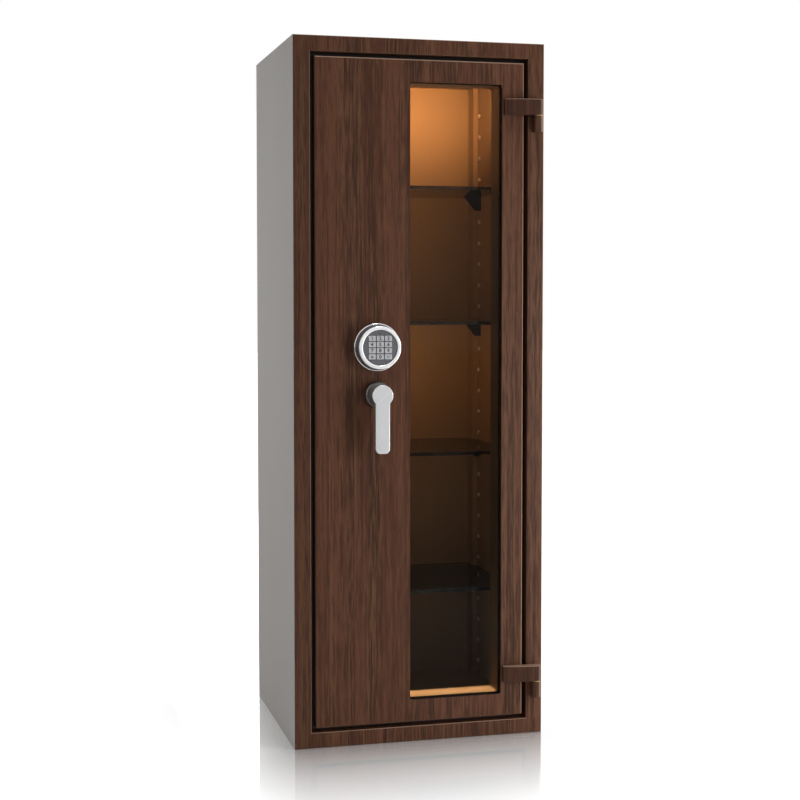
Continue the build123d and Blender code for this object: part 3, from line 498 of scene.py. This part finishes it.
LAMP_Y = -140 * MM
LAMP_STRIP = 16 * MM
TOP_LAMP_X = 50 * MM
TOP_LAMP_DROP = 52 * MM
TOP_LAMP_WIDTH = 300 * MM
TOP_LAMP_TILT = radians(91)
TOP_LAMP_WATTS = 1.06
top_lamp_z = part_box("lamp_diffuser")[0].z - TOP_LAMP_DROP
warm_lamp("compartment_lamp_1", (TOP_LAMP_X, LAMP_Y, top_lamp_z), (TOP_LAMP_WIDTH, LAMP_STRIP),
          TOP_LAMP_TILT, TOP_LAMP_WATTS, spread=radians(95))

SHELF_LAMP_X = -50 * MM
SHELF_LAMP_DROP = 5 * MM
SHELF_LAMP_WIDTH = 200 * MM
SHELF_LAMP_TILT = radians(84)
SHELF_UNDERSIDES = (1190 * MM, 894 * MM, 606 * MM, 302 * MM)
SHELF_LAMP_WATTS = (0.42, 0.72, 0.14, 0.03)
for i, (underside, watts) in enumerate(zip(SHELF_UNDERSIDES, SHELF_LAMP_WATTS)):
    warm_lamp(f"compartment_lamp_{i + 2}", (SHELF_LAMP_X, LAMP_Y, underside - SHELF_LAMP_DROP),
              (SHELF_LAMP_WIDTH, LAMP_STRIP), SHELF_LAMP_TILT, watts)

SILL_LAMP_RISE = 300 * MM
SILL_LAMP_DEPTH = 46 * MM
SILL_LAMP_MARGIN = 8 * MM
SILL_LAMP_WATTS = 0.062
sill_middle = (reveal_low + reveal_high) / 2
sill_width = reveal_high.x - reveal_low.x - 2 * SILL_LAMP_MARGIN
warm_lamp("sill_lamp", (sill_middle.x, sill_middle.y, reveal_low.z + SILL_LAMP_RISE),
          (sill_width, SILL_LAMP_DEPTH), 0, SILL_LAMP_WATTS, (1.0, 0.72, 0.44), radians(7))


# Hinge pins, bolts, dog and lock bolt are ground steel with a bright nickel plate. Bushes and
# washers are sintered bronze.
def metal(name, low, high, scale, roughness, relief=0.00003):
    """Bare or plated metal with fine tool marks."""
    finish = Finish(name, Metallic=1.0)
    marks = finish.noise(scale, 3)
    finish.tint(marks, low, high)
    finish.set("Roughness", roughness + marks * 0.14)
    finish.bump(marks, relief, 0.4)
    return finish


bright = metal("bright_nickel_plate", (0.54, 0.54, 0.55), (0.68, 0.68, 0.69), (40, 700, 700), 0.2)
bright.on("hinge_pins", "locking_bolts", "spindle", "dog_bar", "lock_bolt")
bronze = metal("sintered_bronze", (0.47, 0.30, 0.13), (0.62, 0.42, 0.20), (500, 500, 500), 0.36,
               0.00006)
bronze.on("hinge_washers", "bolt_bushes", "spindle_bush")


# The door plate, the bolt bar and the gearing are zinc-plated mild steel, cut from sheet.
# The zinc shows soft pale spangles. The lock case is shot-blasted alloy.
zinc = metal("zinc_plate", (0.34, 0.35, 0.36), (0.46, 0.46, 0.45), (28, 28, 28), 0.34)
zinc.on("door_plate", "bolt_bar", "guide_studs", "rack_plate", "pinion")
cast = metal("blasted_alloy", (0.48, 0.48, 0.49), (0.60, 0.60, 0.61), (1100, 1100, 1100), 0.45,
             0.0001)
cast.on("lock_case")


# The window is 15 mm clear laminated glass, set in a brown rubber gasket. It is faintly grey
# in its depth and reflects a little more towards grazing angles.
rubber("brown_rubber", (0.020, 0.012, 0.008), (0.034, 0.021, 0.014)).on("glass_gasket")
PANE_ALPHA = 0.08
pane = Finish("laminated_glass", Base_Color=colour(0.004, 0.005, 0.005), Roughness=0.02,
              Specular_IOR_Level=0.35)
fresnel = pane.node("ShaderNodeFresnel", {}, {"IOR": 1.4})
pane.set("Alpha", PANE_ALPHA + fresnel * 0.7)
pane.on("window_glass")


# Button-head screws with a hexagon socket hold the inner cover to the casing: a row up each
# side, and two more along the top and along the foot.
SCREW_RADIUS = 4.5 * MM
SCREW_HEIGHT = 2.2 * MM
SCREW_INSET = 7 * MM
SOCKET_RADIUS = 1.5 * MM
SOCKET_FLOOR = 0.8 * MM
screw_profile = [(SCREW_RADIUS, 0), (SCREW_RADIUS, 0.5 * MM), (SCREW_RADIUS * 0.9, 1.3 * MM),
                 (SCREW_RADIUS * 0.68, 1.9 * MM), (SCREW_RADIUS * 0.5, SCREW_HEIGHT),
                 (SOCKET_RADIUS, SCREW_HEIGHT), (SOCKET_RADIUS, SOCKET_FLOOR)]
to_back = Matrix.Rotation(radians(-90), 4, "X")
screw = as_object("screw", lathe(screw_profile, 24, hexagons=(5, 6)), to_back)
cover_low, cover_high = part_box("inner_cover")
width = cover_high.x - cover_low.x - 2 * SCREW_INSET
height = cover_high.z - cover_low.z - 2 * SCREW_INSET
start = (cover_low.x + SCREW_INSET, cover_high.y, cover_low.z + SCREW_INSET)
SIDE_SCREWS = 8
side_pitch = height / (SIDE_SCREWS - 1)
side_screws = rows_of("cover_screws_sides", screw, black_coat, start, (width, 0, 0), 2,
                      (0, 0, side_pitch), SIDE_SCREWS)
END_SCREWS = 2
end_pitch = width / (END_SCREWS + 1)
end_start = (start[0] + end_pitch, start[1], start[2])
end_screws = rows_of("cover_screws_ends", screw, black_coat, end_start, (end_pitch, 0, 0),
                     END_SCREWS, (0, 0, height), 2)
bpy.data.objects.remove(screw)
for screws in (side_screws, end_screws):
    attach(screws, "door")


# The rosette is turned steel, chemically darkened, with fine rings left by the tool. The
# lever is cast and plated in satin nickel, brushed along its arm and aslant over its hub.
def axis_point(name):
    """Centre of a turned piece, seen from the front."""
    low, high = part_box(name)
    return (low.x + high.x) / 2, (low.z + high.z) / 2


def radius_about(finish, x, z):
    """Distance from an axis square to the front."""
    at = finish.place((1, 1, 1), (-x, 0, -z))
    at = finish.vector("MULTIPLY", at, (1, 0, 1))
    return finish.vector("LENGTH", at, output="Value")


def rings(finish, along, pitch):
    """Fine turning marks that follow each other along a radius or an axis."""
    values = {"W": along, "Scale": 1 / pitch, "Detail": 2}
    return finish.node("ShaderNodeTexNoise", {"noise_dimensions": "1D"}, values)


ROSETTE_PITCH = 0.5 * MM
rosette_x, rosette_z = axis_point("rosette")
dark_steel = Finish("darkened_steel", Metallic=1.0)
turned = rings(dark_steel, radius_about(dark_steel, rosette_x, rosette_z), ROSETTE_PITCH)
dark_steel.tint(turned, (0.105, 0.100, 0.098), (0.205, 0.195, 0.190))
dark_steel.set("Roughness", 0.3 + turned * 0.15)
dark_steel.bump(turned, 0.00005, 0.5)
dark_steel.on("rosette")

HUB_FACE = 21 * MM
BRUSH_PITCH = 2.6 * MM
nickel = Finish("satin_nickel", Metallic=1.0)
brushed = nickel.noise((1400, 1400, 30), 3)
aslant = nickel.part(nickel.place(), "X") - nickel.part(nickel.place(), "Z")
hub_strokes = nickel.between(rings(nickel, aslant, BRUSH_PITCH), 0.3, 0.7)
on_hub = nickel.between(radius_about(nickel, rosette_x, rosette_z), HUB_FACE, HUB_FACE - 2 * MM)
strokes = brushed * (1 - on_hub) + hub_strokes * on_hub
nickel.tint(strokes, (0.565, 0.57, 0.575), (0.70, 0.705, 0.71))
nickel.set("Roughness", 0.3 + brushed * 0.14)
nickel.bump(brushed, 0.00003, 0.5)
nickel.on("lever_handle")


# The keypad has a chromed base ring and bezel, a dark grooved housing, a graphite faceplate
# and silver keys. The board and the cells sit inside.
chrome = metal("polished_chrome", (0.93, 0.93, 0.94), (0.97, 0.97, 0.98), (60, 60, 60), 0.04,
               0.00001)
chrome.on("keypad_base")

BEZEL_BLACK_RADIUS = 37.6 * MM
BEZEL_PITCH = 0.8 * MM
bezel_x, bezel_z = axis_point("keypad_bezel")
# The chrome is drawn near white and only part metal: a painted reflection that keeps it bright
# from every side.
bezel = Finish("chromed_bezel_painted_reflection", Specular_IOR_Level=0.5)
ring = radius_about(bezel, bezel_x, bezel_z)
plated = bezel.between(ring, BEZEL_BLACK_RADIUS, BEZEL_BLACK_RADIUS + 0.3 * MM)
lathe_marks = rings(bezel, ring, BEZEL_PITCH)
painted_reflection = bezel.blend(lathe_marks, colour(0.90, 0.90, 0.905), colour(0.96, 0.96, 0.965))
bezel.set("Base Color", bezel.blend(plated, colour(0.045, 0.045, 0.050), painted_reflection))
bezel.set("Metallic", plated * 0.4)
bezel.set("Roughness", 0.3 - plated * 0.14)
bezel.on("keypad_bezel")

graphite = Finish("graphite_moulding", Specular_IOR_Level=0.4)
spark = graphite.noise((1300, 1300, 1300), 2)
graphite.tint(spark, (0.085, 0.085, 0.094), (0.128, 0.127, 0.139))
graphite.set("Roughness", 0.34 + spark * 0.2)
graphite.bump(spark, 0.00006, 0.4)
graphite.on("keypad_faceplate")

GROOVE_PITCH = 1.6 * MM
grooved = Finish("grooved_housing", Specular_IOR_Level=0.5)
inwards = grooved.part(grooved.place(), "Y") * (2 * pi / GROOVE_PITCH)
groove = inwards.math("COSINE") * 0.5 + 0.5
# The grooves are painted darker in their bottoms and paler on their crests: painted shade and
# highlight along the relief.
grooved.tint(groove, (0.030, 0.030, 0.033), (0.120, 0.120, 0.125))
grooved.set("Roughness", 0.32 + groove * 0.1)
grooved.bump(groove, 0.0003, 0.6)
grooved.on("keypad_housing")

green_board = Finish("solder_mask", Specular_IOR_Level=0.5, Roughness=0.3)
tracks = green_board.between(green_board.noise((300, 300, 300), 1), 0.5, 0.52)
green_board.tint(tracks, (0.012, 0.10, 0.035), (0.02, 0.15, 0.06))
green_board.on("keypad_board")
sleeve = metal("cell_sleeve", (0.30, 0.31, 0.33), (0.42, 0.43, 0.45), (20, 600, 600), 0.3)
sleeve.on("battery_cells")

silver = Finish("silver_key", Metallic=0.6, Specular_IOR_Level=0.5)
satin = silver.noise((900, 900, 900), 2)
silver.tint(satin, (0.36, 0.36, 0.375), (0.50, 0.50, 0.515))
silver.set("Roughness", 0.32 + satin * 0.12)
silver.bump(satin, 0.00004, 0.4)
keys = [name for name in nodes if name.startswith("key_")]
silver.on(*keys)


# Each key carries its mark in dark ink: the numbers, a cross to clear and an arrow to enter.
# A small signal lens sits above the keys.
INK_HEIGHT = 0.12 * MM
DIGIT_SIZE = 10.2 * MM
DIGIT_BOLD = 0.25 * MM
ink = Finish("key_ink", Specular_IOR_Level=0.3)
worn = ink.noise((1500, 1500, 1500), 2)
ink.tint(worn, (0.010, 0.010, 0.012), (0.030, 0.030, 0.034))
ink.set("Roughness", 0.4 + worn * 0.2)
upright = Matrix.Rotation(radians(90), 4, "X")


def digit(text):
    """Raised number in the XY plane."""
    curve = bpy.data.curves.new("digit", "FONT")
    curve.body = text
    curve.size = DIGIT_SIZE
    curve.align_x = "CENTER"
    curve.align_y = "CENTER"
    curve.extrude = INK_HEIGHT / 2
    curve.offset = DIGIT_BOLD
    holder = bpy.data.objects.new("digit", curve)
    bpy.context.scene.collection.objects.link(holder)
    graph = bpy.context.evaluated_depsgraph_get()
    body = bmesh.new()
    body.from_mesh(holder.evaluated_get(graph).to_mesh())
    bpy.data.objects.remove(holder)
    bmesh.ops.remove_doubles(body, verts=body.verts, dist=1e-7)
    return body


def plate(*outlines):
    """Raised mark from closed outlines in the XY plane, in millimetres."""
    body = bmesh.new()
    for outline in outlines:
        corners = [body.verts.new((x * MM, y * MM, INK_HEIGHT / 2)) for x, y in outline]
        face = body.faces.new(corners)
        lifted = bmesh.ops.extrude_face_region(body, geom=[face])["geom"]
        new = [v for v in lifted if isinstance(v, bmesh.types.BMVert)]
        bmesh.ops.translate(body, verts=new, vec=(0, 0, -INK_HEIGHT))
    bmesh.ops.recalc_face_normals(body, faces=body.faces)
    return body


def cross():
    """Two bars across each other."""
    arm, half = 2.0, 0.42
    bar = [(-arm - half, -arm + half), (-arm + half, -arm - half),
           (arm + half, arm - half), (arm - half, arm + half)]
    return plate(bar, [(-x, y) for x, y in reversed(bar)])


def enter_arrow():
    """Arrow to the left whose shaft turns up at its end."""
    return plate([(-3.2, 0), (-1.0, 1.9), (-1.0, 0.45), (2.0, 0.45), (2.0, 2.2), (2.9, 2.2),
                  (2.9, -0.45), (-1.0, -0.45), (-1.0, -1.9)])


signs = {"clear": cross, "enter": enter_arrow}
for name in keys:
    mark = name.removeprefix("key_")
    body = signs[mark]() if mark in signs else digit(mark)
    x, z = axis_point(name)
    place = (x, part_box(name)[0].y - INK_HEIGHT / 2, z)
    mark_piece = as_object(f"mark_{mark}", body, upright, place)
    mark_piece.data.materials.append(ink.material)
    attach(mark_piece, name)

LENS_RADIUS = 1.6 * MM
LENS_RISE = 0.9 * MM
LENS_SUNK = 0.3 * MM
LENS_LIFT = 30 * MM
lens_profile = [(LENS_RADIUS, -LENS_SUNK)]
for angle in (0.0, 0.35, 0.7, 1.05, 1.35):
    lens_profile.append((LENS_RADIUS * cos(angle), LENS_RISE * sin(angle)))
face_x, face_z = axis_point("keypad_faceplate")
lens_place = (face_x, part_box("keypad_faceplate")[0].y, face_z + LENS_LIFT)
lens = as_object("signal_lens", lathe(lens_profile, 24), upright, lens_place)
lens_red = Finish("signal_lens", Base_Color=colour(0.10, 0.035, 0.045), Roughness=0.12)
lens.data.materials.append(lens_red.material)
lens.data.polygons.foreach_set("use_smooth", [True] * len(lens.data.polygons))
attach(lens, "door")


# Studio: a pale polished floor that mirrors the foot of the safe and fades to white, and a
# white surround.
MIRROR_NEAR = 0.80
MIRROR_REACH = 0.55
SIDE_FADE = 2.6
GLOW_REACH = 3.0
FLOOR_SIZE = 40
FLOOR_GLOW = 0.86
FLOOR_SHADE = 0.62
FLOOR_DROP = 0.5 * MM
floor_body = bmesh.new()
bmesh.ops.create_grid(floor_body, x_segments=1, y_segments=1, size=FLOOR_SIZE / 2)
floor = as_object("studio_floor", floor_body, None, (0, 0, -FLOOR_DROP))
polished = Finish("polished_floor", Base_Color=colour(0.88, 0.88, 0.88), Roughness=0.6,
                  Specular_IOR_Level=0.2)
body_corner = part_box("side_panels")[1]
half_plan = (body_corner.x, body_corner.y, 0)
outside = polished.vector("ABSOLUTE", polished.place())
outside = polished.vector("SUBTRACT", outside, half_plan)
outside = polished.vector("MAXIMUM", outside, (0, 0, 0))
distance = polished.vector("LENGTH", outside, output="Value")
widened = polished.vector("MULTIPLY", outside, (SIDE_FADE, 1, 0))
mirror_run = polished.vector("LENGTH", widened, output="Value")
fade = (1 - mirror_run * (1 / MIRROR_REACH)).math("MAXIMUM", 0)
seen = polished.node("ShaderNodeLightPath", output="Is Camera Ray")
polished.set("Emission Color", colour(1, 1, 1))
# The floor's glow is weaker near the safe, so the floor turns grey round its foot: painted shade.
near = (1 - distance * (1 / GLOW_REACH)).math("MAXIMUM", 0)
polished.set("Emission Strength", seen * (1 - near * FLOOR_SHADE) * FLOOR_GLOW)
gloss = {"Color": colour(0.95, 0.95, 0.95), "Roughness": 0.03}
mirror = polished.node("ShaderNodeBsdfAnisotropic", {}, gloss)
mixed = polished.node("ShaderNodeMixShader", {}, {0: fade * MIRROR_NEAR * seen, 2: mirror})
polished.tree.links.new(polished.shader.outputs[0], mixed.socket.node.inputs[1])
polished.tree.links.new(mixed.socket, polished.tree.nodes["Material Output"].inputs["Surface"])
floor.data.materials.append(polished.material)

AMBIENT = 0.28
scene = bpy.context.scene
scene.world = bpy.data.worlds.new("white_surround")
surround = Finish("white_surround", scene.world)
seen_directly = surround.node("ShaderNodeLightPath", output="Is Camera Ray")
in_gloss = surround.node("ShaderNodeLightPath", output="Is Glossy Ray")
in_glass = surround.node("ShaderNodeLightPath", output="Is Transmission Ray")
shown = seen_directly.math("MAXIMUM", in_gloss).math("MAXIMUM", in_glass)
background = surround.tree.nodes["Background"]
background.inputs["Color"].default_value = colour(1, 1, 1)
surround.feed(background.inputs["Strength"], AMBIENT + shown * (1 - AMBIENT))


# A tall softbox stands close on the right and in front, and larger ones stand far off on the
# left and behind. One on the right and one overhead draw the bright lines along the edges.
def softbox(name, place, aim, size, watts):
    """Large lamp turned to the point that it is aimed at."""
    lamp = area_light(name, place, size, watts)
    lamp.rotation_euler = (Vector(aim) - Vector(place)).to_track_quat("-Z", "Y").to_euler()


softbox("key_softbox", (1.25, -1.35, 0.62), (0.25, -0.2, 0.28), (0.5, 1.15), 20)
softbox("left_softbox", (-3.0, 0.65, 0.9), (-0.2, 0.1, 0.7), (1.6, 1.7), 29)
softbox("back_softbox", (-0.6, 3.0, 1.2), (0, 0.2, 0.75), (2.0, 2.0), 36)
softbox("rim_softbox", (2.4, 0.1, 0.9), (0.2, -0.1, 0.8), (0.9, 1.7), 28)
softbox("top_softbox", (0.2, -0.75, 3.1), (0.15, -0.3, 1.0), (0.6, 1.0), 22)


# The camera stands a little to the left, at waist height, and looks slightly down. Its
# place, turn and lens were fitted to six corners of the body and nine points on the door.
CAMERA_PLACE = (-0.8717, -3.4480, 0.9746)
CAMERA_PITCH = radians(2.774)
CAMERA_TURN = radians(14.414)
camera_data = bpy.data.cameras.new("camera")
camera_data.sensor_width = 36
camera_data.lens = 70.338
camera_data.shift_y = -0.045
camera = bpy.data.objects.new("camera", camera_data)
camera.location = CAMERA_PLACE
camera.rotation_euler = (pi / 2 - CAMERA_PITCH, 0, -CAMERA_TURN)
scene.collection.objects.link(camera)
scene.camera = camera
scene.view_settings.view_transform = "Standard"
